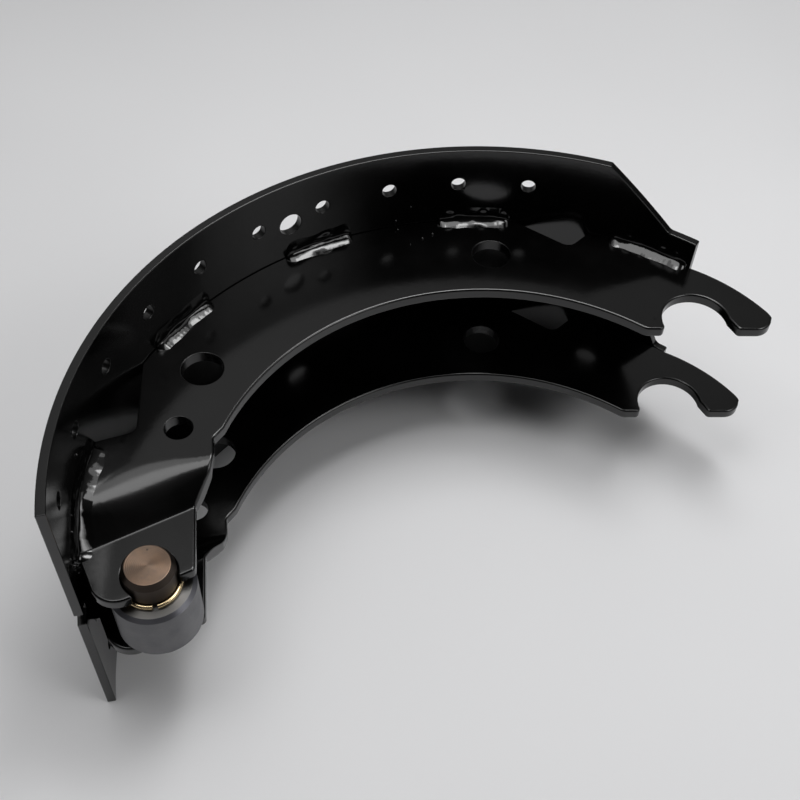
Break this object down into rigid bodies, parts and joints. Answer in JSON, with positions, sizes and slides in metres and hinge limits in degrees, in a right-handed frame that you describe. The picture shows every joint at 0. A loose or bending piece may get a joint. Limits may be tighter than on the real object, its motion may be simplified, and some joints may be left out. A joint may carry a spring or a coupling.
{
  "type": "brake shoe",
  "caption": "Twin-web drum brake shoe without lining: curved table with rivet holes, welded webs with open anchor hooks, and a cam roller on a pin held by snap rings.",
  "frame": {"origin": "centre of the anchor pin's seat, half way between the two webs", "axes": "+Z along the drum axis, +X from the roller towards the anchor, +Y towards the crown of the table"},
  "size_m": [0.3623, 0.1595, 0.163],
  "materials": {
    "black_paint": "gloss black dip paint over pressed steel and weld beads",
    "roller_steel": "hardened and ground steel, satin",
    "pin_steel": "turned steel, lightly oiled",
    "yellow_zinc": "spring wire with yellow zinc plating"
  },
  "bodies": {
    "shoe": {"table": "black_paint", "roller_pin": "pin_steel", "upper_web": "black_paint", "upper_snap_ring": "yellow_zinc", "lower_web": "black_paint", "lower_snap_ring": "yellow_zinc", "upper_weld_1": "black_paint", "upper_weld_2": "black_paint", "upper_weld_3": "black_paint", "upper_weld_4": "black_paint", "upper_weld_5": "black_paint", "lower_weld_1": "black_paint", "lower_weld_2": "black_paint", "lower_weld_3": "black_paint", "lower_weld_4": "black_paint", "lower_weld_5": "black_paint"},
    "roller": {"roller": "roller_steel"}
  },
  "joints": [
    {"name": "roller_spin", "type": "hinge", "parent": "shoe", "child": "roller", "pos_m": [-0.2914, 0, 0], "axis": [0, 0, 1], "continuous": true}
  ]
}
